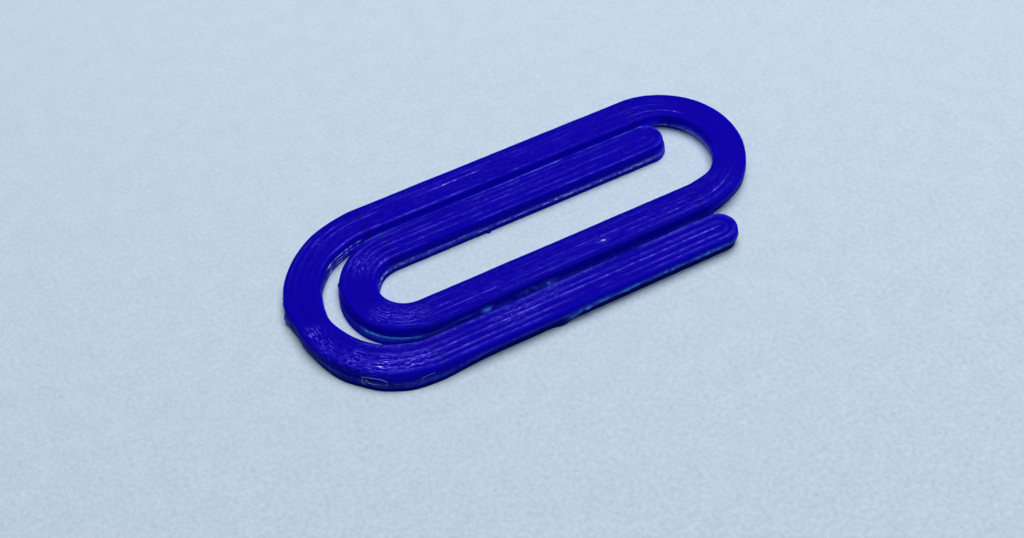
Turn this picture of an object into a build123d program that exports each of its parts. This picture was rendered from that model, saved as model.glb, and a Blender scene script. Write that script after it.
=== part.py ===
import os

from build123d import *

# A flat, printed plastic paper clip: one strip of plastic roads laid side by side, turned back on
# itself three times. It lies on the XY plane with its length along X and its bottom at z = 0.
# Seen from above, from the far side (+Y) to the near side, the rows are the long leg, the inner
# leg, the middle leg and the outer leg. Sizes are in millimetres.

# Strip
strip_width = 2.0
strip_height = 1.1
road_count = 5
road_depth = 0.03
shoulder = 0.13
first_layer = 0.3
foot_lip = 0.06

# Plan
clip_length = 29.3
outer_gap = 0.5
window_width = 3.6
inner_gap = 0.65
crescent_gap = 1.2
outer_tip_setback = 4.1
inner_tip_setback = 4.15

# Centre lines of the four rows
clip_width = 4 * strip_width + outer_gap + window_width + inner_gap
long_y = (clip_width - strip_width) / 2
inner_y = long_y - strip_width - outer_gap
middle_y = inner_y - strip_width - window_width
outer_y = middle_y - strip_width - inner_gap

# Bend radii, on the strip's centre line, and bend centres
outer_radius = (long_y - outer_y) / 2
end_radius = (long_y - middle_y) / 2
inner_radius = (inner_y - middle_y) / 2
outer_center = (-clip_length / 2 + strip_width / 2 + outer_radius, (long_y + outer_y) / 2)
end_center = (clip_length / 2 - strip_width / 2 - end_radius, (long_y + middle_y) / 2)
inner_apex = -clip_length / 2 + strip_width + crescent_gap
inner_center = (inner_apex + strip_width / 2 + inner_radius, (inner_y + middle_y) / 2)

# Centres of the rounded tips
outer_tip_x = clip_length / 2 - outer_tip_setback - strip_width / 2
inner_tip_x = clip_length / 2 - inner_tip_setback - strip_width / 2

# Top face: the roads lie side by side between the sloped shoulders, each one slightly crowned
foot_half = strip_width / 2
wall_half = foot_half - foot_lip
top_half = wall_half - shoulder
road_pitch = 2 * top_half / road_count
valley = strip_height - road_depth
wall_top = valley - shoulder


def across(x, y):
    return Plane(origin=(x, y, 0), x_dir=(0, 1, 0), z_dir=(1, 0, 0))


# Section of the strip: a wider first layer as a foot, plain walls, sloped shoulders and
# crowned roads on top
with BuildSketch() as strip_section:
    with BuildLine():
        Polyline(
            (-top_half, valley),
            (-wall_half, wall_top),
            (-wall_half, first_layer),
            (-foot_half, first_layer),
            (-foot_half, 0),
            (foot_half, 0),
            (foot_half, first_layer),
            (wall_half, first_layer),
            (wall_half, wall_top),
            (top_half, valley),
        )
        for road in range(road_count):
            left = -top_half + road * road_pitch
            SagittaArc((left, valley), (left + road_pitch, valley), road_depth)
    make_face()

# Half of the section, which is turned about the strip's middle to round a tip
with BuildSketch() as tip_section:
    add(strip_section.sketch)
    with Locations((-strip_width / 2, strip_height / 2)):
        Rectangle(strip_width, 2 * strip_height, mode=Mode.SUBTRACT)

# Long leg: joins the outer bend to the end bend
with BuildPart() as long_leg:
    with BuildSketch(across(outer_center[0], long_y)):
        add(strip_section.sketch)
    extrude(amount=end_center[0] - outer_center[0])

# Outer bend: the large end of the clip
with BuildPart() as outer_bend:
    with BuildSketch(across(outer_center[0], long_y)):
        add(strip_section.sketch)
    revolve(axis=Axis((*outer_center, 0), (0, 0, 1)), revolution_arc=180)

# Outer leg: the free leg on the outside, with a rounded tip
with BuildPart() as outer_leg:
    with BuildSketch(across(outer_center[0], outer_y)):
        add(strip_section.sketch)
    extrude(amount=outer_tip_x - outer_center[0])
    with BuildSketch(across(outer_tip_x, outer_y)):
        add(tip_section.sketch)
    revolve(axis=Axis((outer_tip_x, outer_y, 0), (0, 0, -1)), revolution_arc=180)

# End bend: carries the inner loop
with BuildPart() as end_bend:
    with BuildSketch(across(end_center[0], long_y)):
        add(strip_section.sketch)
    revolve(axis=Axis((*end_center, 0), (0, 0, -1)), revolution_arc=180)

# Middle leg: runs back from the end bend to the inner bend
with BuildPart() as middle_leg:
    with BuildSketch(across(inner_center[0], middle_y)):
        add(strip_section.sketch)
    extrude(amount=end_center[0] - inner_center[0])

# Inner bend: the small bend inside the outer one
with BuildPart() as inner_bend:
    with BuildSketch(across(inner_center[0], inner_y)):
        add(strip_section.sketch)
    revolve(axis=Axis((*inner_center, 0), (0, 0, 1)), revolution_arc=180)

# Inner leg: the free leg on the inside, with a rounded tip that stops inside the end bend
with BuildPart() as inner_leg:
    with BuildSketch(across(inner_center[0], inner_y)):
        add(strip_section.sketch)
    extrude(amount=inner_tip_x - inner_center[0])
    with BuildSketch(across(inner_tip_x, inner_y)):
        add(tip_section.sketch)
    revolve(axis=Axis((inner_tip_x, inner_y, 0), (0, 0, -1)), revolution_arc=180)

os.makedirs("parts", exist_ok=True)

long_leg.part.label = "long_leg"
export_step(long_leg.part, "parts/long_leg.step")

outer_bend.part.label = "outer_bend"
export_step(outer_bend.part, "parts/outer_bend.step")

outer_leg.part.label = "outer_leg"
export_step(outer_leg.part, "parts/outer_leg.step")

end_bend.part.label = "end_bend"
export_step(end_bend.part, "parts/end_bend.step")

middle_leg.part.label = "middle_leg"
export_step(middle_leg.part, "parts/middle_leg.step")

inner_bend.part.label = "inner_bend"
export_step(inner_bend.part, "parts/inner_bend.step")

inner_leg.part.label = "inner_leg"
export_step(inner_leg.part, "parts/inner_leg.step")
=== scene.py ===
import math

import bpy
from mathutils import Matrix, Vector, noise


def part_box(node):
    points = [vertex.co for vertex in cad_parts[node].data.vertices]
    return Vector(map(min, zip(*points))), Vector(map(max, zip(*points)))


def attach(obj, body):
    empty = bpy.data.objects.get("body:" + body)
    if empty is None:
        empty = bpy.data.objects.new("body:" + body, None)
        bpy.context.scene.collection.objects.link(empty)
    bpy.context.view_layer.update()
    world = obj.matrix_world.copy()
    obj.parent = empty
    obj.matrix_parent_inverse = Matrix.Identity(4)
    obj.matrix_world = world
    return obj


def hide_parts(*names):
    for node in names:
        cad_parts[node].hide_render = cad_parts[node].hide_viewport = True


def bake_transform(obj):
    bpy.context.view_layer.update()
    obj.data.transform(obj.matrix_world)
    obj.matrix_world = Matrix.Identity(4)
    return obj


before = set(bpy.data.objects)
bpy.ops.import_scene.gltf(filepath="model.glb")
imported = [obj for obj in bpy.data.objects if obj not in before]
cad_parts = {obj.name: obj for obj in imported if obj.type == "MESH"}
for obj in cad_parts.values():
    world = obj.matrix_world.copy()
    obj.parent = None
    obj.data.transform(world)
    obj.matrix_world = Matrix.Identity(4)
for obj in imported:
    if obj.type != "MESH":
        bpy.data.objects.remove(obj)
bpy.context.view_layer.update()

scene = bpy.context.scene
mm = 0.001
print("frame loaded:", sorted(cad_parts))


# Small helpers for working in edit mode as by hand

def pickOnly(*pieces):
    if bpy.context.mode != "OBJECT":
        bpy.ops.object.mode_set(mode="OBJECT")
    bpy.ops.object.select_all(action="DESELECT")
    for piece in pieces:
        piece.select_set(True)
    bpy.context.view_layer.objects.active = pieces[0]


def editMode(piece, how="VERT"):
    pickOnly(piece)
    bpy.ops.object.mode_set(mode="EDIT")
    bpy.ops.mesh.select_mode(type=how)


def objectMode():
    bpy.ops.object.mode_set(mode="OBJECT")


def pickVertices(piece, test):
    editMode(piece)
    bpy.ops.mesh.select_all(action="DESELECT")
    objectMode()
    for vertex in piece.data.vertices:
        vertex.select = test(vertex.co)
    bpy.ops.object.mode_set(mode="EDIT")


def smoothstep(low, high, value):
    t = min(max((value - low) / (high - low), 0.0), 1.0)
    return t * t * (3 - 2 * t)


def band(low, full, last, high, value):
    return smoothstep(low, full, value) * (1 - smoothstep(last, high, value))


# Where the rows and bends lie, in millimetres, read from the solids

def nodeBox(node):
    low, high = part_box(node)
    return low / mm, high / mm


def rowOf(node):
    low, high = nodeBox(node)
    return {"y": (low.y + high.y) / 2, "half": (high.y - low.y) / 2, "east": high.x, "top": high.z}


def bendOf(node, opensEast):
    low, high = nodeBox(node)
    reach = (high.y - low.y) / 2
    return {"x": high.x if opensEast else low.x, "y": (low.y + high.y) / 2, "reach": reach}


def turnAngle(turn, x, y):
    return math.degrees(math.atan2(abs(x - turn["x"]), y - turn["y"]))  # 0 at the bend's far end, 180 at its near end


longRow = rowOf("long_leg")
middleRow = rowOf("middle_leg")
outerRow = rowOf("outer_leg")
innerRow = rowOf("inner_leg")
outerTurn = bendOf("outer_bend", True)
endTurn = bendOf("end_bend", False)
innerTurn = bendOf("inner_bend", True)
stripHalf = longRow["half"]
stripTop = longRow["top"]
for turn in (outerTurn, endTurn, innerTurn):
    turn["radius"] = turn["reach"] - stripHalf
outerRow["tip"] = outerRow["east"] - stripHalf
innerRow["tip"] = innerRow["east"] - stripHalf

# Length along the strip at each cut, from the outer leg's tip to the inner leg's tip
runs = [0.0]
for span in (
    outerRow["tip"] - outerTurn["x"],
    math.pi * outerTurn["radius"],
    endTurn["x"] - outerTurn["x"],
    math.pi * endTurn["radius"],
    endTurn["x"] - innerTurn["x"],
    math.pi * innerTurn["radius"],
):
    runs.append(runs[-1] + span)


# The printed strip: section in millimetres, a across from the middle, z up

stripLook = {
    "step": 0.07,  # length of one quad along the strip
    "wallOut": 0.085,  # the printed wall bulges past the drawn one
    "shoulder": (0.14, 0.22),  # how far the outermost road rounds over, across and down
    "roadPitch": 0.425,
    "grooveDepth": 0.030,  # between two roads
    "grooveHalf": 0.055,
    "foot": 0.26,  # height of the first layers
    "lip": 0.50,  # a bulging layer makes a ledge at this height
    "wall": ((-0.02, 0), (-0.02, 0.05), (-0.02, 0.20), (-0.012, 0.25), (0.00, 0.28), (0.012, 0.305), (-0.006, 0.34),
             (0.012, 0.385), (-0.004, 0.43), (0.012, 0.47), (0.030, 0.50), (0.012, 0.535), (-0.006, 0.57), (0.0, 0.62),
             (0.0, 0.66), (0.0, 0.70), (0.0, 0.75), (0.0, 0.81)),  # how far out each row of the wall lies, and its height
    "roadRise": (0.006, 0.005, 0.004),  # slow, middling and quick change in a road's height
    "roadSway": (0.016, 0.008),
    "layerSway": (0.012, 0.009),
    "lipSway": (0.024, 0.022),
    "squash": 0.13,  # the inner leg and its bend widen towards the table
}
wallHalf = stripHalf + stripLook["wallOut"]
roadPitch = stripLook["roadPitch"]
grooves = [(k - 1.5) * roadPitch for k in range(4)]  # between five roads
paintedLedgeLines = ((0.305, 0.35), (0.385, 1.1), (0.50, 0.9))  # height of a painted highlight line on a ledge, and its strength


def halfOutline():
    look = stripLook
    crest = stripTop - 0.008
    points = [(0, 0), (0.35, 0), (0.7, 0)] + [(wallHalf + out, z) for out, z in look["wall"]]
    wide, tall = look["shoulder"]
    for step in range(10):
        angle = math.radians(9 * step)
        points.append((wallHalf - wide + wide * math.cos(angle), crest - tall + tall * math.sin(angle)))
    for k in (2, 1, 0):
        if k < 2:
            points.append((k * roadPitch + 0.06, crest))
        points.append((k * roadPitch, crest))
        if k > 0:
            points.append((k * roadPitch - 0.06, crest))
            for shift in (0.07, 0.03, 0.0, -0.03, -0.07):
                points.append(((k - 0.5) * roadPitch + shift, crest))
    return points


rightHalf = halfOutline()
ringPoints = rightHalf + [(-a, z) for a, z in reversed(rightHalf[1:-1])]
print("section has", len(ringPoints), "points")

# Distance round the section from the middle of the top, for the pattern that follows the strip
roundAbout = {}
walked = 0.0
for index in range(len(rightHalf) - 1, -1, -1):
    a, z = rightHalf[index]
    if index < len(rightHalf) - 1:
        walked += math.hypot(a - rightHalf[index + 1][0], z - rightHalf[index + 1][1])
    roundAbout[(round(a, 4), round(z, 4))] = walked
girth = 2 * walked


def aroundAt(a, z):
    key = (round(abs(a), 4), round(z, 4))
    if key not in roundAbout:
        near = min(rightHalf, key=lambda point: math.hypot(point[0] - key[0], point[1] - key[1]))
        roundAbout[key] = roundAbout[(round(near[0], 4), round(near[1], 4))]
    return roundAbout[key]


# Unevenness of the print, in millimetres

wandered = {}


def wander(s, period, row):
    key = (round(s, 4), period, row)
    if key not in wandered:
        wandered[key] = noise.noise(Vector((s / period, row * 7.31 + 0.37, row * 1.13 + 3.7)))
    return wandered[key]


def between(value, give):
    base = math.floor(value)
    g = smoothstep(0, 1, value - base)
    return (1 - g) * give(base) + g * give(base + 1)


def roadHeight(s, k):
    slow, middling, quick = stripLook["roadRise"]
    return slow * wander(s, 1.7, k) + middling * wander(s, 0.42, k + 20) + quick * wander(s, 0.15, k + 40)


def roadShift(s, k):
    broad, fine = stripLook["roadSway"]
    return broad * wander(s, 2.3, k + 60) + fine * wander(s, 0.6, k + 80)


def grooveDepth(s, k):
    share = 0.55 + 0.7 * wander(s, 2.1, k + 300) + 0.8 * wander(s, 0.5, k + 310) + 0.6 * wander(s, 0.17, k + 320)
    return stripLook["grooveDepth"] * min(max(share, 0.0), 1.5)


def layerShift(s, k):
    broad, fine = stripLook["layerSway"]
    return broad * wander(s, 1.3, k + 100) + fine * wander(s, 0.33, k + 120)


def dashes(s, k):
    # painted highlight lines come and go along the strip, and break up finely
    here = smoothstep(-0.45, 0.20, wander(s, 4.1, k + 400) + 0.4 * wander(s, 0.9, k + 410))
    return here * (0.4 + 0.6 * smoothstep(-0.22, 0.16, wander(s, 0.55, k + 420) + 0.7 * wander(s, 0.21, k + 430)))


# Painted highlight lines of each piece: on its top, by the distance from the middle towards the strip's outer side and
# the strength, and on the ledges of the inner and the outer wall
paintedLines = {
    "printed_outer_leg": {
        "top": ((-0.93, 0.5), (-0.85, 0.45), (-0.425, 0.42), (-0.06, 0.95), (0.425, 0.65), (0.79, 0.50)),
        "ledges": (0.1, 0.2),
    },
    "printed_outer_bend": {
        "top": ((-0.85, 0.4), (-0.425, 0.45), (0.0, 0.5), (0.425, 0.55), (0.79, 0.5)),
        "ledges": (0.2, 0.2),
    },
    "printed_long_leg": {
        "top": ((-0.85, 0.50), (-0.365, 0.10), (0.14, 1.55), (0.485, 0.70)),
        "ledges": (0.1, 0.1),
    },
    "printed_end_bend": {
        "top": ((-0.425, 0.1), (0.0, 0.15), (0.365, 0.25), (0.68, 0.25)),
        "ledges": (0.1, 0.1),
    },
    "printed_middle_leg": {
        "top": ((-0.60, 0.32), (-0.06, 0.60), (0.32, 1.00), (0.67, 0.65)),
        "ledges": (0.1, 0.2),
    },
    "printed_inner_bend": {
        "top": ((-0.90, 0.4), (-0.485, 0.4), (0.0, 0.55), (0.365, 0.6), (0.70, 0.6)),
        "ledges": (0.6, 0.3),
    },
    "printed_inner_leg": {
        "top": ((-0.91, 0.34), (-0.485, 0.28), (0.0, 0.55), (0.32, 0.22), (0.67, 0.26), (0.95, 0.95)),
        "ledges": (1.9, 0.1),
    },
}
joins = {  # the legs at the far and the near end of each bend
    "printed_outer_bend": ("printed_long_leg", "printed_outer_leg"),
    "printed_end_bend": ("printed_long_leg", "printed_middle_leg"),
    "printed_inner_bend": ("printed_inner_leg", "printed_middle_leg"),
}
# Rows beside the roads' crowns and grooves, which carry faint dots of painted highlight
faintRows = [k * roadPitch + shift for k in (0, 1, 2) for shift in (-0.1425, -0.06, 0.06, 0.1425)]
topPlaces = sorted({round(a, 4) for a, z in ringPoints if z > stripTop - 0.05})
for lines in paintedLines.values():  # each line lies on a row of vertices
    lines["rows"] = {min(topPlaces, key=lambda a: abs(a - where)): strength for where, strength in lines["top"]}


# Painted highlight arcs, and pale arcs of painted glow, on the bends: which road, or which wall (side 1 outer, -1
# inner) and how high on it, and the span in degrees from the far end
paintedArcs = [
    {"piece": "printed_outer_bend", "road": -2, "span": (12, 34), "paintedGlint": 0.9},
    {"piece": "printed_outer_bend", "side": -1, "z": (0.68, 0.77), "span": (8, 44), "paintedGlint": 5.0},
    {"piece": "printed_outer_bend", "side": -1, "z": (0.46, 0.52), "span": (10, 40), "paintedGlint": 4.0},
    {"piece": "printed_outer_bend", "side": -1, "z": (0.18, 0.29), "span": (24, 50), "paintedGlint": 4.0},
    {"piece": "printed_outer_bend", "side": 1, "z": (0.36, 0.55), "span": (50, 82), "thin": 2.0},
    {"piece": "printed_inner_bend", "side": 1, "z": (0.49, 0.54), "span": (118, 168), "thin": 2.1},
    {"piece": "printed_inner_bend", "side": 1, "z": 0.57, "span": (112, 150), "thin": 1.3},
    {"piece": "printed_inner_bend", "side": 1, "z": 0.43, "span": (126, 172), "thin": 1.2},
    {"piece": "printed_inner_bend", "side": -1, "z": 0.385, "span": (0, 62), "paintedGlint": 3.6},
    {"piece": "printed_inner_bend", "side": -1, "z": 0.47, "span": (20, 50), "paintedGlint": 2.4},
    {"piece": "printed_inner_bend", "road": -2, "span": (8, 34), "paintedGlint": 0.9},
    {"piece": "printed_end_bend", "road": -1, "span": (0, 42), "paintedGlint": 0.6},
    {"piece": "printed_end_bend", "road": -1, "span": (36, 50), "paintedGlint": 1.5},
    {"piece": "printed_end_bend", "side": -1, "z": 0.305, "span": (24, 75), "paintedGlint": 2.4, "thin": 0.8},
    {"piece": "printed_end_bend", "side": -1, "z": (-0.01, 0.29), "span": (-10, 60), "thin": 0.6},
]


def arcAt(name, turn, x, y, s, a, z):
    thin = glossAndPaintedGlint = 0.0
    angle = turnAngle(turn, x, y)
    for arc in paintedArcs:
        first, last = arc["span"]
        if arc["piece"] != name or not first - 4 < angle < last + 4:
            continue
        if "road" in arc:
            near = z > stripTop - 0.05 and abs(a - arc["road"] * roadPitch) < 0.03
        else:
            low, high = arc["z"] if isinstance(arc["z"], tuple) else (arc["z"] - 0.012, arc["z"] + 0.012)
            near = a * arc["side"] > 0.7 and low < z < high
        if near:
            w = band(first - 4, first + 3, last - 3, last + 4, angle)
            fine = smoothstep(-0.35, 0.3, wander(s, 0.31, 501) + 0.7 * wander(s, 0.13, 502))
            glossAndPaintedGlint = max(glossAndPaintedGlint, w * arc.get("paintedGlint", 0) * (0.2 + 0.8 * fine))
            thin = max(thin, w * arc.get("thin", 0) * (0.6 + 0.4 * fine))
    return thin, glossAndPaintedGlint


def lineFade(name, x, a):
    # the long leg's painted highlight lines die out to the right, and the inner leg's painted edge line to the left
    if name == "printed_long_leg":
        return 1 - 0.75 * smoothstep(-1, 4, x)
    if name == "printed_inner_leg" and a > 0.9:
        return 0.25 + 0.75 * smoothstep(-3, 1, x)
    return 1.0


def ledgeAt(name, side, x):
    # where the first layers end, where the ledge bulges most, and how far the layers below it are drawn in
    foot, lip = stripLook["foot"], stripLook["lip"]
    if name == "printed_outer_leg" and side > 0:
        raised = smoothstep(-8.2, -5.5, x)
        return foot + 0.31 * raised, lip + 0.21 * raised, 0.08 * raised
    if name == "printed_end_bend" and side < 0:
        return foot, lip, 0.08
    if name == "printed_outer_bend" and side < 0:
        return foot, lip, 0.04
    return foot, lip, 0.0


# Thin brim into which the first layer is squashed out, at the inner leg's tip and inside the end bend
brimLook = {
    "tipAt": (10.15, 2.05),
    "tipSize": (0.5, 0.45),
    "tipOut": 0.05,
    "bendSpan": (20, 70, 112, 135),  # comes in and dies out between these angles
    "bendOut": 0.09,
}


def brimAt(name, x, y, side):
    if name == "printed_inner_leg":
        (tipX, tipY), (sizeX, sizeY) = brimLook["tipAt"], brimLook["tipSize"]
        return math.exp(-((x - tipX) / sizeX) ** 2 - ((y - tipY) / sizeY) ** 2)
    if name != "printed_end_bend" or side > 0:
        return 0.0
    return band(*brimLook["bendSpan"], turnAngle(endTurn, x, y))


def legShares(north):
    # how much of its far and its near leg's look runs on into a bend
    return smoothstep(0.75, 0.98, north), smoothstep(0.75, 0.98, -north)


# painted highlight lines along the top's roads, with faint painted dots beside them
def topLines(name, x, s, a):
    glossAndPaintedGlint = 0.0
    for where, strength in paintedLines[name]["rows"].items():
        beside = abs(a - where)
        if beside < 0.07:
            share = 1.0 if beside < 0.01 else 0.12
            glossAndPaintedGlint = max(glossAndPaintedGlint, share * strength * lineFade(name, x, where) * dashes(s, round(where * 20)))
    if abs(a) < 0.9 and min(abs(abs(a) - row) for row in faintRows) < 0.004:
        row = round(a * 50)
        glossAndPaintedGlint = max(glossAndPaintedGlint, 0.08 * smoothstep(0.06, 0.3, wander(s, 0.17, row + 820) + 0.8 * wander(s, 1.3, row + 910)))
    return glossAndPaintedGlint


def printedSurface(name, x, s, a, z, straight, north):
    look, lines = stripLook, paintedLines[name]
    side = 1 if a > 0 else -1
    onTop = smoothstep(stripTop - 0.16, stripTop - 0.04, z)
    foot, lip, drawn = ledgeAt(name, side, x)
    da = dz = thin = glossAndPaintedGlint = 0.0
    if onTop > 0:
        road = min(max(a / roadPitch, -2), 2)
        dz += onTop * between(road, lambda k: roadHeight(s, k))
        da += onTop * between(road, lambda k: roadShift(s, k))
        for k, groove in enumerate(grooves):
            far = (a - groove) / look["grooveHalf"]
            if abs(far) < 2.5:
                dz -= onTop * grooveDepth(s, k) * math.exp(-far * far) * (0.3 + 0.7 * straight)
        if name in joins:  # painted highlight lines of the legs run on into the bend and die out
            far, near = legShares(north)
            glossAndPaintedGlint = far * topLines(joins[name][0], x, s, a) + near * topLines(joins[name][1], x, s, a)
            own = (1 - far - near) * straight * (1 + 0.8 * smoothstep(0.2, 0.7, -north))
            glossAndPaintedGlint += own * topLines(name, x, s, a)
        else:
            glossAndPaintedGlint = straight * topLines(name, x, s, a)
    if abs(a) > 0.7 and onTop < 1:
        level = max((z - lip - 0.1) / 0.2, 0)
        sway = between(level, lambda k: layerShift(s, k + 40 * side))
        inLedge = band(foot - 0.02, foot + 0.02, lip + 0.03, lip + 0.10, z)
        broad, fine = look["lipSway"]
        flare = broad * wander(s, 0.9, 200 + side) + fine * wander(s, 0.22, 210 + side)
        da += (1 - onTop) * side * (inLedge * flare + (smoothstep(lip, lip + 0.1, z) - onTop) * sway)
        da -= side * drawn * (1 - smoothstep(foot - 0.10, foot + 0.03, z))
        # painted highlight lines on the ledges, and a paler ledge of thin plastic, partly a painted glow
        share = lines["ledges"][(side + 1) // 2]
        patchy = 0.35 + 0.6 * wander(s, 1.6, 230 + side) + 0.5 * wander(s, 0.2, 240 + side)
        thin = 0.6 * inLedge * min(max(patchy, 0), 1)
        for k, (height, strength) in enumerate(paintedLedgeLines):
            if abs(z - height) < 0.012:
                glossAndPaintedGlint = max(glossAndPaintedGlint, share * strength * (0.5 + 0.5 * dashes(s, 95 + 5 * k + side)))
    return da, dz, thin, glossAndPaintedGlint


def paintedWallLight(name, x, a, z, north):
    # painted light and shade of the legs' walls runs on into a bend and passes into its own
    if name not in joins:
        return wallOf(name, x, a, z, north)
    far, near = legShares(north)
    ends = far * wallOf(joins[name][0], x, a, z, 1) + near * wallOf(joins[name][1], x, a, z, -1)
    return ends + (1 - far - near) * wallOf(name, x, a, z, north)


def wallOf(name, x, a, z, north):
    # painted light and shade: the far side is painted bright below, as a glow in the gap behind, and painted dark along
    # its edge
    side = 1 if a > 0 else -1
    far = smoothstep(0.1, 0.6, side * north)
    return far * (0.05 + 1.3 * (1 - smoothstep(0.75, 0.95, z))) + (1 - far) * nearWall(name, side, x, z)


def nearWall(name, side, x, z):
    # painted light and shade of the wall's blue: 0, painted dark, on the first layers, 0.5 low, 1 high up, and up to 2
    # where a narrow gap is painted glowing
    foot = ledgeAt(name, side, x)[0]
    bright = 0.5 * smoothstep(foot - 0.08, foot + 0.04, z) + 0.5 * smoothstep(0.40, 0.98, z)
    # painted glow on the long leg's wall facing the narrow gap
    if name == "printed_long_leg" and side < 0:
        return smoothstep(0.1, 0.3, z) * (2 - smoothstep(0.6, 1.05, z))
    # the middle leg: painted shade at its shoulder and painted glow lower down
    if name == "printed_middle_leg":
        return bright * (1 - 0.85 * smoothstep(0.90, 1.03, z)) + 0.35 * band(0.1, 0.3, 0.8, 0.95, z)
    # inner walls, and the inner leg and bend, are painted at least half bright
    if side < 0 or name in ("printed_inner_leg", "printed_inner_bend"):
        return max(bright, 0.5)
    # painted shade on the outer bend's wall, darker towards its west end and low down
    if name == "printed_outer_bend":
        return bright * (0.25 + 0.75 * smoothstep(-2.0, 2.0, x + 12.0) * smoothstep(0.5, 1.0, z))
    # painted shade along the top of the outer leg's wall
    if name == "printed_outer_leg":
        return bright * (1 - 0.5 * smoothstep(0.90, 1.03, z))
    return bright


def paintedEdgeShade(name, side, a, north):
    # painted shade: the top is painted darker along its far edge, and along the strip's outer edge on the near side
    if side > 0 and north < 0:
        depth = 0.35 if name in ("printed_outer_leg", "printed_outer_bend") else 0.55
        return smoothstep(0.74, 0.90, a) * depth * smoothstep(0.6, 0.98, -north)
    return 0.5 * smoothstep(0.64, 0.86, abs(a)) * smoothstep(0, 0.7, side * north)


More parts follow.
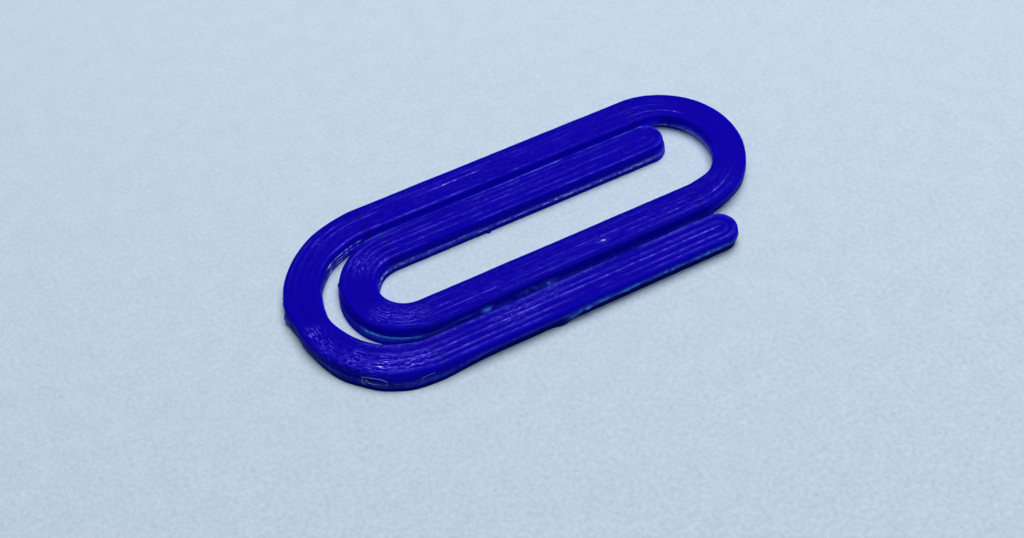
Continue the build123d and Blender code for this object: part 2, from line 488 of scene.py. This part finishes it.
# Local marks of the print: place on the clip in millimetres, size, how far it stands out sideways or up and how
# raggedly, how thin and pale the plastic is there (partly a painted glow), how much painted highlight it gets, and how
# scuffed or rough it is
marks = [
    {"at": (-11.30, 2.05, 0.60), "size": (0.22, 0.22, 0.40), "out": 0.28},  # pimple on the inner bend
    {"at": (-14.48, 1.30, 0.35), "size": (0.40, 0.22, 0.30), "out": 0.16, "thin": 0.8},  # tab and flap on the outer bend
    {"at": (-14.30, 2.30, 0.45), "size": (0.40, 0.70, 0.20), "out": 0.08, "ragged": 0.8, "thin": 1.6},
    {"at": (-13.85, 3.40, 0.50), "size": (0.40, 0.60, 0.15), "out": 0.03, "thin": 1.0},
    {"at": (-13.80, -0.90, 1.10), "size": (0.45, 0.45, 0.40), "scuff": 0.8, "rough": 0.008},  # scuffed patches
    {"at": (-13.60, -2.20, 1.10), "size": (0.50, 0.70, 0.40), "scuff": 0.7, "rough": 0.006},
    {"at": (-12.60, -3.70, 1.10), "size": (0.70, 0.60, 0.40), "scuff": 0.8, "rough": 0.006},
    {"at": (-11.30, -4.80, 1.10), "size": (0.90, 0.50, 0.40), "scuff": 0.9, "rough": 0.006},
    {"at": (-9.60, -5.40, 1.10), "size": (1.10, 0.45, 0.40), "scuff": 0.7, "rough": 0.006},
    # specks of painted highlight
    {"at": (-14.10, -1.08, 1.10), "size": (0.12, 0.12, 0.30), "glossAndPaintedGlint": 1.5, "rough": 0.02},
    {"at": (-13.80, -0.67, 1.10), "size": (0.10, 0.10, 0.30), "glossAndPaintedGlint": 1.3, "rough": 0.02},
    {"at": (-9.90, -1.70, 1.10), "size": (0.70, 0.60, 0.30), "scuff": 0.55, "rough": 0.006},
    {"at": (-8.50, -2.50, 1.10), "size": (0.90, 0.45, 0.30), "scuff": 0.45, "rough": 0.006},
    {"at": (-9.55, 2.25, 1.10), "size": (0.70, 0.60, 0.30), "scuff": 0.5, "rough": 0.006},
    {"at": (-11.19, 4.97, 1.10), "size": (0.22, 0.22, 0.30), "scuff": 0.6, "rough": 0.010},
    {"at": (6.06, -6.40, 0.78), "size": (0.07, 0.50, 0.12), "out": 0.03, "thin": 1.3},
    {"at": (8.05, -6.40, 0.78), "size": (0.07, 0.50, 0.12), "out": 0.03, "thin": 1.2},
    {"at": (-1.10, -6.40, 0.16), "size": (0.42, 0.50, 0.24), "out": 0.18},  # nub under the outer leg
    {"at": (-0.45, -6.40, 0.42), "size": (0.36, 0.50, 0.22), "out": 0.10, "ragged": 0.6, "thin": 1.7},
    {"at": (0.30, -6.40, 0.62), "size": (0.60, 0.50, 0.18), "out": 0.08, "ragged": 1.0, "thin": 1.6},
    {"at": (1.60, -6.40, 0.70), "size": (0.90, 0.50, 0.14), "out": 0.05, "ragged": 1.3, "thin": 1.5},
    {"at": (3.30, -6.40, 0.70), "size": (1.20, 0.50, 0.12), "out": 0.04, "ragged": 1.3, "thin": 1.5},
    {"at": (5.60, -6.40, 0.70), "size": (1.40, 0.50, 0.12), "out": 0.04, "ragged": 1.3, "thin": 1.4},
    {"at": (8.30, -6.40, 0.70), "size": (1.40, 0.50, 0.13), "out": 0.04, "ragged": 1.3, "thin": 1.5},
    {"at": (10.00, -6.20, 0.62), "size": (0.60, 0.50, 0.16), "out": 0.04, "ragged": 1.0, "thin": 1.2},
    {"at": (-9.00, -6.40, 0.05), "size": (1.90, 0.70, 0.35), "out": 0.13},
    {"at": (-4.56, -3.76, 0.60), "size": (0.32, 0.50, 0.17), "out": 0.18, "thin": 3.2},  # fleck on the middle leg
    {"at": (-1.90, -3.76, 0.62), "size": (0.60, 0.50, 0.18), "out": 0.08, "ragged": 1.6, "thin": 1.3},
    {"at": (-0.75, -3.76, 0.55), "size": (0.50, 0.50, 0.20), "out": 0.10, "ragged": 1.6, "thin": 1.5},
    {"at": (-7.60, -3.76, 0.58), "size": (1.00, 0.50, 0.08), "thin": 1.0},
    {"at": (-5.90, -3.76, 0.68), "size": (0.90, 0.50, 0.07), "out": 0.04, "thin": 1.3},
    # a pale speck with a painted highlight
    {"at": (-9.35, 1.20, 0.45), "size": (0.20, 0.20, 0.20), "thin": 1.0, "glossAndPaintedGlint": 1.6},
    {"at": (-8.00, 3.84, 1.02), "size": (0.90, 0.14, 0.10), "thin": 0.8},
    {"at": (-1.76, 1.85, 0.10), "size": (0.12, 0.50, 0.16), "out": 0.14},
    # a small raised speck with painted highlights
    {"at": (3.26, -3.00, 1.10), "size": (0.30, 0.12, 0.30), "glossAndPaintedGlint": 2.2, "up": 0.015, "rough": 0.015},
    {"at": (-3.40, -5.10, 1.10), "size": (0.90, 0.45, 0.30), "scuff": 0.5, "rough": 0.008},
    {"at": (-1.20, -4.90, 1.10), "size": (0.50, 0.35, 0.30), "scuff": 0.5, "rough": 0.008},
]


def markAt(x, y, z, s, a):
    out = up = thin = glossAndPaintedGlint = scuff = 0.0
    for mark in marks:
        mx, my, mz = mark["at"]
        sx, sy, sz = mark["size"]
        if abs(x - mx) > 2.2 * sx or abs(y - my) > 2.2 * sy:
            continue
        far = ((x - mx) / sx) ** 2 + ((y - my) / sy) ** 2 + ((z - mz) / sz) ** 2
        if far < 5:
            w = math.exp(-far)
            speck = noise.noise(Vector((s * 4, a * 13, z * 9)))
            rag = 1 + mark.get("ragged", 0) * noise.noise(Vector((x * 4, y * 4, z * 4)))
            out += w * mark.get("out", 0) * rag
            up += w * (mark.get("up", 0) + mark.get("rough", 0) * speck)
            thin = max(thin, w * mark.get("thin", 0) * max(rag, 0))
            glossAndPaintedGlint = max(glossAndPaintedGlint, w * mark.get("glossAndPaintedGlint", 0) * smoothstep(-0.1, 0.4, speck))
            scuff += w * mark.get("scuff", 0)
    return out, up, thin, glossAndPaintedGlint, scuff


# How much wider the strip was printed round its bends, at the top and the foot of its outer (1) or inner (-1) wall:
# each entry comes in between its first two angles and dies out between the last two
bendTrims = [
    {"piece": "printed_outer_bend", "side": 1, "span": (15, 30, 60, 75), "top": 0.06, "foot": 0.06},
    {"piece": "printed_outer_bend", "side": 1, "span": (72, 92, 165, 179), "top": -0.33},
    {"piece": "printed_outer_bend", "side": 1, "span": (130, 155, 165, 179), "top": 0.1815},
    {"piece": "printed_outer_bend", "side": 1, "span": (78, 92, 105, 132), "foot": -0.28},
    {"piece": "printed_outer_bend", "side": 1, "span": (135, 150, 160, 175), "foot": 0.14},
    {"piece": "printed_outer_bend", "side": -1, "span": (95, 115, 160, 175), "top": 0.11, "foot": 0.11},
    {"piece": "printed_outer_bend", "side": -1, "span": (20, 40, 60, 75), "top": -0.10, "foot": -0.10},
    {"piece": "printed_end_bend", "side": 1, "span": (135, 158, 168, 179), "foot": -0.20},
    {"piece": "printed_end_bend", "side": -1, "span": (5, 35, 140, 168), "top": -0.20, "foot": -0.25},
    {"piece": "printed_inner_bend", "side": 1, "span": (50, 100, 160, 179), "top": -0.22},
]


def trimAt(name, turn, x, y, z, side):
    angle = turnAngle(turn, x, y)
    high = smoothstep(0, stripTop, z)
    wider = 0.0
    for trim in bendTrims:
        if trim["piece"] == name and trim["side"] == side:
            wider += band(*trim["span"], angle) * ((1 - high) * trim.get("foot", 0) + high * trim.get("top", 0))
    return wider


def spreadAt(name, x, y, z, side):
    if name not in ("printed_inner_leg", "printed_inner_bend"):
        return 0.0
    low = 1 - smoothstep(0.1, 0.9, z)
    return stripLook["squash"] * low * (smoothstep(-1, 2, y) if side < 0 else smoothstep(9.0, 10.4, -x))


# Making of the pieces: a ring in the section's shape, drawn out along a row or spun round a bend

def sectionRing(name, points, place):
    bpy.ops.object.select_all(action="DESELECT")
    bpy.ops.mesh.primitive_circle_add(vertices=len(points), radius=mm, fill_type="NOTHING", location=(0, 0, 0))
    piece = bpy.context.object
    piece.name = piece.data.name = name
    for vertex, (a, z) in zip(piece.data.vertices, points):
        x, y = place(a)
        vertex.co = (x * mm, y * mm, z * mm)
    return piece


def drawOut(piece, start, end):
    steps = max(8, round(abs(end - start) / stripLook["step"]))
    editMode(piece)
    bpy.ops.mesh.select_all(action="SELECT")
    bpy.ops.mesh.extrude_repeat(steps=steps, offset=((end - start) * mm / steps, 0, 0))
    objectMode()


def spinRound(piece, x, y, angle, steps):
    editMode(piece)
    bpy.ops.mesh.select_all(action="SELECT")
    bpy.ops.mesh.spin(steps=steps, angle=-angle, center=(x * mm, y * mm, 0), axis=(0, 0, 1))
    objectMode()


def closeUp(piece, cuts):
    editMode(piece)
    bpy.ops.mesh.select_all(action="SELECT")
    bpy.ops.mesh.remove_doubles(threshold=1e-7)
    for test in cuts:
        pickVertices(piece, test)
        bpy.ops.mesh.edge_face_add()
    bpy.ops.mesh.select_all(action="SELECT")
    bpy.ops.mesh.normals_make_consistent(inside=False)
    objectMode()


def legMap(row, sign, start, direction, origin):
    # sign: which way across counts as the outer side; s runs from start at origin
    def there(co):
        x, y, z = co / mm
        tip = row.get("tip")
        if tip is not None and x > tip + 1e-4:
            dx, dy = x - tip, y - row["y"]
            r = math.hypot(dx, dy)
            turned = math.atan2(dx, sign * dy)  # 0 on the outer side, pi on the inner side
            return start + direction * (tip - origin), r, z, turned, abs(math.cos(turned))
        return start + direction * (x - origin), sign * (y - row["y"]), z, None, 1.0

    def back(co, a, da, dz, turned):
        x, y, zz = co / mm
        if turned is None:
            return Vector((x, y + sign * da, zz + dz)) * mm
        dx, dy = math.sin(turned), sign * math.cos(turned)
        r = a + da
        return Vector((row["tip"] + dx * r, row["y"] + dy * r, zz + dz)) * mm

    return there, back


def bendMap(turn, start, fromNorth, west):
    def there(co):
        x, y, z = co / mm
        dx, dy = x - turn["x"], y - turn["y"]
        r = math.hypot(dx, dy)
        turned = math.atan2(-dx if west else dx, dy if fromNorth else -dy)
        straight = abs(math.cos(turned)) ** (6 if turn is endTurn else 3)  # the grooves and lines fade round the bend
        return start + turn["radius"] * turned, r - turn["radius"], z, None, straight

    def back(co, a, da, dz, turned):
        x, y, zz = co / mm
        dx, dy = x - turn["x"], y - turn["y"]
        r = math.hypot(dx, dy)
        share = (r + da) / r
        return Vector((turn["x"] + dx * share, turn["y"] + dy * share, zz + dz)) * mm

    return there, back


# Which way each leg's outer side faces: 1 to the far side, -1 to the near side
signOf = {"printed_outer_leg": -1, "printed_long_leg": 1, "printed_middle_leg": -1, "printed_inner_leg": 1}


def mapStrip(mesh, places):
    # u runs along the strip and v round it, both in millimetres
    layer = mesh.uv_layers.new(name="stripMap")
    for polygon in mesh.polygons:
        values = []
        for corner in polygon.loop_indices:
            s, a, z = places[mesh.loops[corner].vertex_index]
            v = aroundAt(a, z) * (1 if a >= 0 else -1)
            values.append((corner, s, v))
        vs = [v for _, _, v in values]
        wraps = max(vs) - min(vs) > girth / 2
        for corner, s, v in values:
            layer.data[corner].uv = (s, v + girth if wraps and v < 0 else v)


def printOn(piece, there, back, turn=None):
    mesh = piece.data
    name = piece.name
    places = []
    looks = {"thinnessAndPaintedGlow": [], "paintedGlint": [], "top": [], "wall": [], "scuff": []}
    for vertex in mesh.vertices:
        s, a, z, turned, straight = there(vertex.co)
        places.append((s, a, z))
        x, y, zz = vertex.co / mm
        north = signOf.get(name, 0)
        if turn:
            north = (y - turn["y"]) / math.hypot(x - turn["x"], y - turn["y"])
        if turned is None:
            da, dz, thin, glossAndPaintedGlint = printedSurface(name, x, s, a, z, straight, north)
        else:  # the two sides of the strip run into each other round the tip
            along = s + math.sin(turned) * a
            w = turned / math.pi
            one = printedSurface(name, x, along, a, z, straight, north)
            two = printedSurface(name, x, along, -a, z, straight, north)
            da = ((1 - w) * one[0] - w * two[0]) * smoothstep(0, 0.3, a)
            dz, thin, glossAndPaintedGlint = ((1 - w) * one[k] + w * two[k] for k in (1, 2, 3))
        out, up, paler, markPaintedGlint, scuff = markAt(x, y, zz, s, a)
        side = 1 if a >= 0 else -1
        onWall = smoothstep(0.6, 0.85, abs(a))
        brim = brimAt(name, x, y, side)
        da += side * onWall * (1 - smoothstep(0.05, 0.15, z)) * brimLook["bendOut" if turn else "tipOut"] * brim
        wallSide = side if turned is None or turned < math.pi / 2 else -1  # round a tip, a is never below 0
        da += side * onWall * (out + spreadAt(name, x, y, z, wallSide))
        if turn:
            arcThin, arcPaintedGlint = arcAt(name, turn, x, y, s, a, z)
            paler, markPaintedGlint = max(paler, arcThin), max(markPaintedGlint, arcPaintedGlint)
            da += side * smoothstep(0.1, 1.0, abs(a)) * trimAt(name, turn, x, y, z, side)
        dz = dz + up if z > 1e-6 else 0  # the underside stays on the table
        # painted light and shade on the walls
        wall = paintedWallLight(name, x, a, z, north)
        if brim > 0.05:  # painted glow: the wall over the brim is painted bright, for light coming through it
            wall = max(wall, brim * (0.8 + 2.2 * (1 - smoothstep(0.05, 0.9 if turn else 0.3, z))))
        looks["thinnessAndPaintedGlow"].append(max(thin, paler))
        # painted highlight from lines, arcs and marks, turned into colour in the material
        looks["paintedGlint"].append(max(glossAndPaintedGlint, markPaintedGlint))
        # the top's share of colour, with painted shade along its edges
        looks["top"].append(smoothstep(stripTop - 0.12, stripTop - 0.01, z) * (1 - paintedEdgeShade(name, side, a, north)))
        looks["wall"].append(wall)
        looks["scuff"].append(scuff)
        vertex.co = back(vertex.co, a, da, dz, turned)
    mapStrip(mesh, places)
    for attribute, values in looks.items():
        mesh.attributes.new(attribute, "FLOAT", "POINT").data.foreach_set("value", values)
    pickOnly(piece)
    bpy.ops.object.shade_smooth_by_angle(angle=math.radians(50))


def pickOpen(cap):
    # the half section stays open along the tip's axis, so the closing edge of the circle goes
    last = len(cap.data.vertices) - 1
    editMode(cap, "EDGE")
    bpy.ops.mesh.select_all(action="DESELECT")
    objectMode()
    for edge in cap.data.edges:
        edge.select = set(edge.vertices) == {0, last}
    bpy.ops.object.mode_set(mode="EDIT")
    bpy.ops.mesh.delete(type="EDGE")
    objectMode()


def makeLeg(name, row, west, east, sign, start, direction, origin):
    piece = sectionRing(name, ringPoints, lambda a: (west, row["y"] + sign * a))
    drawOut(piece, west, row.get("tip", east))
    cuts = [lambda co: abs(co.x / mm - west) < 1e-3]
    if "tip" in row:
        cap = sectionRing(name + "_cap", rightHalf, lambda a: (row["tip"], row["y"] - a))
        pickOpen(cap)
        spinRound(cap, row["tip"], row["y"], math.pi, 44)
        pickOnly(piece, cap)
        bpy.ops.object.join()
    else:
        cuts.append(lambda co: abs(co.x / mm - east) < 1e-3)
    closeUp(piece, cuts)
    printOn(piece, *legMap(row, sign, start, direction, origin))
    return piece


def makeBend(name, turn, west, start, fromNorth):
    steps = round(math.pi * turn["radius"] / stripLook["step"])
    piece = sectionRing(name, ringPoints, lambda a: (turn["x"], turn["y"] - turn["radius"] - a))
    spinRound(piece, turn["x"], turn["y"], -math.pi if west else math.pi, steps)
    closeUp(piece, [
        lambda co: abs(co.x / mm - turn["x"]) < 1e-3 and co.y / mm < turn["y"],
        lambda co: abs(co.x / mm - turn["x"]) < 1e-3 and co.y / mm > turn["y"],
    ])
    printOn(piece, *bendMap(turn, start, fromNorth, west), turn)
    return piece


outerLeg = makeLeg("printed_outer_leg", outerRow, outerTurn["x"], None, -1, 0.0, -1, outerRow["tip"])
outerBend = makeBend("printed_outer_bend", outerTurn, True, runs[1], False)
longLeg = makeLeg("printed_long_leg", longRow, outerTurn["x"], endTurn["x"], 1, runs[2], 1, outerTurn["x"])
endBend = makeBend("printed_end_bend", endTurn, False, runs[3], True)
middleLeg = makeLeg("printed_middle_leg", middleRow, innerTurn["x"], endTurn["x"], -1, runs[4], -1, endTurn["x"])
innerBend = makeBend("printed_inner_bend", innerTurn, True, runs[5], False)
innerLeg = makeLeg("printed_inner_leg", innerRow, innerTurn["x"], None, 1, runs[6], 1, innerTurn["x"])


# Strings of plastic that cling to the outer bend's wall, in millimetres
strings = {
    "thickness": 0.026,
    "out": 0.06,
    "runs": [
        [(-12.40, -4.66, 0.72), (-12.01, -5.01, 0.79), (-11.59, -5.36, 0.80), (-11.31, -5.61, 0.65)],
        [(-12.25, -4.86, 0.64), (-12.19, -5.02, 0.47), (-11.97, -5.24, 0.45), (-11.40, -5.62, 0.50),
         (-10.82, -5.91, 0.50), (-10.22, -6.15, 0.45), (-9.71, -6.28, 0.39), (-9.53, -6.24, 0.63),
         (-9.19, -6.30, 0.75), (-8.85, -6.37, 0.80)],
        [(-12.38, -4.69, 0.70), (-12.47, -4.76, 0.42), (-12.37, -4.91, 0.34), (-12.25, -4.86, 0.64)],
    ],
}


def clingString(name, run):
    bpy.ops.object.select_all(action="DESELECT")
    bpy.ops.curve.primitive_nurbs_path_add(location=(0, 0, 0))
    line = bpy.context.object
    line.name = name
    shape = line.data
    shape.splines.clear()
    spline = shape.splines.new("POLY")
    spline.points.add(len(run) - 1)
    for point, place in zip(spline.points, run):
        outward = Vector((min(place[0] - outerTurn["x"], 0), place[1] - outerTurn["y"], 0)).normalized()
        point.co = (*((Vector(place) + outward * strings["out"]) * mm), 1)
    shape.bevel_depth = strings["thickness"] * mm
    shape.bevel_resolution = 2
    shape.use_fill_caps = True
    bpy.ops.object.convert(target="MESH")
    line = bpy.context.object
    mesh = line.data
    while mesh.uv_layers:
        mesh.uv_layers.remove(mesh.uv_layers[0])
    layer = mesh.uv_layers.new(name="stripMap")
    for corner, loop in zip(layer.data, mesh.loops):
        place = mesh.vertices[loop.vertex_index].co / mm
        corner.uv = (place.x + place.y, place.z)
    # the strings are pale, with painted highlight and the painted light of a high wall
    for attribute, value in (("thinnessAndPaintedGlow", 1.3), ("paintedGlint", 0.9), ("top", 0.0), ("wall", 1.0), ("scuff", 0.0)):
        mesh.attributes.new(attribute, "FLOAT", "POINT").data.foreach_set("value", [value] * len(mesh.vertices))
    return line


clinging = [clingString(f"string_{k}", run) for k, run in enumerate(strings["runs"])]
pickOnly(outerBend, *clinging)
bpy.ops.object.join()
for piece in (outerLeg, outerBend, longLeg, endBend, middleLeg, innerBend, innerLeg):
    print("made", piece.name, len(piece.data.polygons), "faces")


# Materials

class Wire:
    def __init__(self, tree, socket):
        self.tree, self.socket = tree, socket

    def node(self, kind, settings=None, sockets=None, out=0):
        made = self.tree.nodes.new(kind)
        for key, value in (settings or {}).items():
            setattr(made, key, value)
        for key, value in (sockets or {}).items():
            if isinstance(value, Wire):
                self.tree.links.new(value.socket, made.inputs[key])
            else:
                made.inputs[key].default_value = value
        return Wire(self.tree, made.outputs[out] if len(made.outputs) else None)

    def math(self, operation, first, second):
        return self.node("ShaderNodeMath", {"operation": operation}, {0: first, 1: second})

    def __add__(self, other): return self.math("ADD", self, other)
    def __radd__(self, other): return self.math("ADD", other, self)
    def __sub__(self, other): return self.math("SUBTRACT", self, other)
    def __rsub__(self, other): return self.math("SUBTRACT", other, self)
    def __mul__(self, other): return self.math("MULTIPLY", self, other)
    def __rmul__(self, other): return self.math("MULTIPLY", other, self)

    def clamp(self): return self.node("ShaderNodeClamp", None, {"Value": self})

    def mix(self, one, two):
        return self.node("ShaderNodeMix", {"data_type": "RGBA"}, {"Factor": self, 6: one, 7: two}, 2)


def freshMaterial(name):
    material = bpy.data.materials.new(name)
    material.use_nodes = True
    tree = material.node_tree
    tree.nodes.clear()
    return material, Wire(tree, None)


bluePlastic = {
    "deep": (0.0034, 0.0003, 0.35, 1),  # top
    "bright": (0.0046, 0.0005, 0.40, 1),
    "foot": (0.0016, 0.0020, 0.19, 1),  # first layers, painted dark as shade
    "low": (0.0040, 0.0026, 0.45, 1),  # painted glow of the walls, for the light inside the plastic
    # higher on the wall, painted lighter
    "high": (0.0062, 0.0020, 0.46, 1),
    "glow": (0.030, 0.009, 1.0, 1),  # painted glow on the walls of the narrow gap
    "thin": (0.040, 0.095, 0.52, 1),  # ledges and flash are thin and paler, partly a painted glow of light through them
    # thinnest plastic, partly a painted glow
    "thinnest": (0.05, 0.36, 1.0, 1),
    # painted glow over the brim
    "brim": (0.30, 0.43, 1.0, 1),
    "edge": (0.075, 0.090, 0.82, 1),  # painted highlight lines on the walls
    "line": (0.075, 0.048, 0.82, 1),  # painted highlight lines on the top, along roads and edges
    # white painted highlight
    "paintedSparkle": (0.72, 0.76, 0.95, 1),
    "roughness": 0.45,
    # the plastic's own shine is low; its bright lines are painted into the colour
    "glossAndPaintedGlint": 0.008,
    "soft": 0.9,  # light that wanders inside the plastic
    "bump": 0.25,
}


def printedPlastic():
    look = bluePlastic
    material, pen = freshMaterial("printed_blue_plastic")
    strip = pen.node("ShaderNodeUVMap", {"uv_map": "stripMap"})

    def stretched(along, across, detail):
        place = pen.node("ShaderNodeMapping", None, {"Vector": strip, "Scale": (along, across, 1.0)})
        return pen.node("ShaderNodeTexNoise", None, {"Vector": place, "Scale": 1.0, "Detail": detail, "Roughness": 0.6})

    streak = stretched(0.7, 9.0, 4.0)
    grain = stretched(6.0, 24.0, 3.0)
    strokes = stretched(3.0, 12.0, 2.0)
    beads = stretched(3.6, 5.0, 2.0)
    thin, paintedGlint, top, wall, scuff = (pen.node("ShaderNodeAttribute", {"attribute_name": name}, None, 2)
                                     for name in ("thinnessAndPaintedGlow", "paintedGlint", "top", "wall", "scuff"))
    # painted light and shade of the walls: dark first layers, lighter higher up, a painted glow in narrow gaps and over
    # the brim
    side = (wall * 2.0 - 1.0).clamp().mix((wall * 2.0).clamp().mix(look["foot"], look["low"]), look["high"])
    side = (wall - 2.0).clamp().mix((wall - 1.0).clamp().mix(side, look["glow"]), look["brim"])
    # the top's blue, with painted shade along its edges, over the walls
    blue = top.mix(side, streak.mix(look["deep"], look["bright"]))
    # paler where the plastic is thin, partly a painted glow
    pale = thin.clamp().mix(blue, look["thin"])
    paler = ((thin - 1.0) * 0.8).clamp().mix(pale, look["thinnest"])
    stroke = ((strokes - 0.54) * 14.0).clamp()  # scuffs are short strokes
    # painted highlight lines, and the scuffs' strokes, go into the colour; above 1 they turn to white painted highlight
    broken = paintedGlint * (beads * 3.2 - 0.65) + scuff * stroke * (grain * 3.0 - 0.4).clamp() * 1.6
    line = broken.clamp()
    lined = line.mix(paler, top.mix(look["edge"], look["line"]))
    color = ((broken - 1.0) * 0.9).clamp().mix(lined, look["paintedSparkle"])
    rough = (look["roughness"] - 0.12) + streak * 0.12 + grain * 0.14
    height = grain * 0.6 + streak * 0.4
    bump = pen.node("ShaderNodeBump", None, {"Strength": look["bump"], "Distance": 0.00004, "Height": height})
    skin = pen.node("ShaderNodeBsdfPrincipled", None, {
        "Base Color": color, "Roughness": rough, "Normal": bump, "IOR": 1.46, "Specular IOR Level": look["glossAndPaintedGlint"],
        "Coat Weight": line * 0.4, "Coat Roughness": 0.2,
        "Subsurface Weight": look["soft"], "Subsurface Radius": (0.15, 0.15, 1.0), "Subsurface Scale": 0.0009})
    pen.node("ShaderNodeOutputMaterial", None, {"Surface": skin})
    return material


plastic = printedPlastic()
for piece in (outerLeg, outerBend, longLeg, endBend, middleLeg, innerBend, innerLeg):
    piece.data.materials.append(plastic)
print("plastic on the strip")


# Bodies: each leg is attached to its body, and the bends are baked where they lie

def at(y):
    return (0, y * mm, 0)


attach(longLeg, "outer_loop")
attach(middleLeg, "inner_loop")
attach(outerLeg, "outer_free_leg")
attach(innerLeg, "inner_free_leg")
at(longRow["y"] - stripHalf)
at(outerRow["y"] + stripHalf)
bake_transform(outerBend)
at(longRow["y"] - stripHalf)
at(middleRow["y"] + stripHalf)
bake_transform(endBend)
at(middleRow["y"] + stripHalf)
at(innerRow["y"] - stripHalf)
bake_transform(innerBend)
for piece, node in ((longLeg, "long_leg"), (middleLeg, "middle_leg"), (outerLeg, "outer_leg"), (innerLeg, "inner_leg"),
                    (outerBend, "outer_bend"), (endBend, "end_bend"), (innerBend, "inner_bend")):
    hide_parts(node)


# Floor, light and camera

paperFloor = {
    "size": 0.8,
    "color": (0.66, 0.77, 0.87, 1),
    "dark": (0.44, 0.53, 0.62, 1),
    "grain": 0.5,
    "paintedLightSlope": (0.9, 2.4),  # painted light: the paper is painted brighter towards the far right
}


def makeFloor():
    look = paperFloor
    bpy.ops.object.select_all(action="DESELECT")
    bpy.ops.mesh.primitive_plane_add(size=look["size"], location=(0, 0, 0))
    floor = bpy.context.object
    floor.name = "paper_floor"
    material, pen = freshMaterial("pale_paper")
    where = pen.node("ShaderNodeTexCoord", None, None, 3)
    apart = pen.node("ShaderNodeSeparateXYZ", None, {0: where})
    east, north = (Wire(apart.tree, apart.socket.node.outputs[k]) for k in (0, 1))
    fibre = pen.node("ShaderNodeTexNoise", None, {"Vector": where, "Scale": 3600.0, "Detail": 3.0, "Roughness": 0.6})
    cloud = pen.node("ShaderNodeTexNoise", None, {"Vector": where, "Scale": 700.0, "Detail": 2.0})
    mottle = (fibre - 0.5) * (0.9 - north * 14.0) + (cloud - 0.5) * 0.3 + 0.5
    # the paper's mottle, with painted light brighter towards the far right
    shade = mottle + east * look["paintedLightSlope"][0] + north * look["paintedLightSlope"][1]
    tone = shade.clamp().mix(look["dark"], look["color"])
    bump = pen.node("ShaderNodeBump", None, {"Strength": look["grain"], "Distance": 0.0001, "Height": fibre})
    skin = pen.node("ShaderNodeBsdfPrincipled", None, {
        "Base Color": tone, "Roughness": 0.85, "Normal": bump, "Specular IOR Level": 0.2})
    pen.node("ShaderNodeOutputMaterial", None, {"Surface": skin})
    floor.data.materials.append(material)


makeFloor()
print("floor laid")

roomLight = {
    "room": 0.12,
    "color": (0.62, 0.78, 1, 1),
    "key": {"power": 1.20, "size": 0.28, "at": (0.080, 0.075, 0.338), "color": (1, 0.98, 0.94)},
    "window": {"power": 0.04, "size": 0.16, "at": (0.06, 0.34, 0.16), "color": (0.95, 0.98, 1)},
    "fill": {"power": 0.20, "size": 0.20, "at": (0.09, -0.10, 0.32), "color": (0.70, 0.85, 1)},
}


def makeLight(name, power, size, at, color):
    bpy.ops.object.select_all(action="DESELECT")
    bpy.ops.object.light_add(type="AREA", location=at)
    lamp = bpy.context.object
    lamp.name = name
    lamp.data.energy = power
    lamp.data.shape = "DISK"
    lamp.data.size = size
    lamp.data.color = color
    lamp.rotation_euler = (-Vector(at)).to_track_quat("-Z", "Y").to_euler()


makeLight("soft_key", **roomLight["key"])
makeLight("far_window", **roomLight["window"])
makeLight("near_fill", **roomLight["fill"])
world = bpy.data.worlds.new("soft_room")
scene.world = world
world.use_nodes = True
world.node_tree.nodes.clear()
pen = Wire(world.node_tree, None)
room = pen.node("ShaderNodeBackground", None, {"Color": roomLight["color"], "Strength": roomLight["room"]})
pen.node("ShaderNodeOutputWorld", None, {"Surface": room})

cameraSpot = {  # millimetres and degrees
    "lens": 45.975,
    "elevation": 50.815,
    "azimuth": -22.14,
    "roll": -5.79,
    "distance": 75.08,
    "target": (-1.843, -1.484, 0.0),
}


def makeCamera():
    spot = cameraSpot
    el, az, roll = (math.radians(spot[k]) for k in ("elevation", "azimuth", "roll"))
    back = Vector((math.sin(az) * math.cos(el), -math.cos(az) * math.cos(el), math.sin(el)))
    right = Vector((math.cos(az), math.sin(az), 0))
    up = Vector((-math.sin(az) * math.sin(el), math.cos(az) * math.sin(el), math.cos(el)))
    rolledRight = right * math.cos(roll) + up * math.sin(roll)
    rolledUp = up * math.cos(roll) - right * math.sin(roll)
    bpy.ops.object.select_all(action="DESELECT")
    bpy.ops.object.camera_add(location=(Vector(spot["target"]) + back * spot["distance"]) * mm)
    camera = bpy.context.object
    camera.name = "photo_camera"
    camera.rotation_euler = Matrix((rolledRight, rolledUp, back)).transposed().to_euler()
    camera.data.sensor_fit = "HORIZONTAL"
    camera.data.sensor_width = 36
    camera.data.lens = spot["lens"]
    camera.data.clip_start, camera.data.clip_end = 0.001, 10
    scene.camera = camera


makeCamera()
scene.view_settings.view_transform = "Standard"
print("light and camera set")
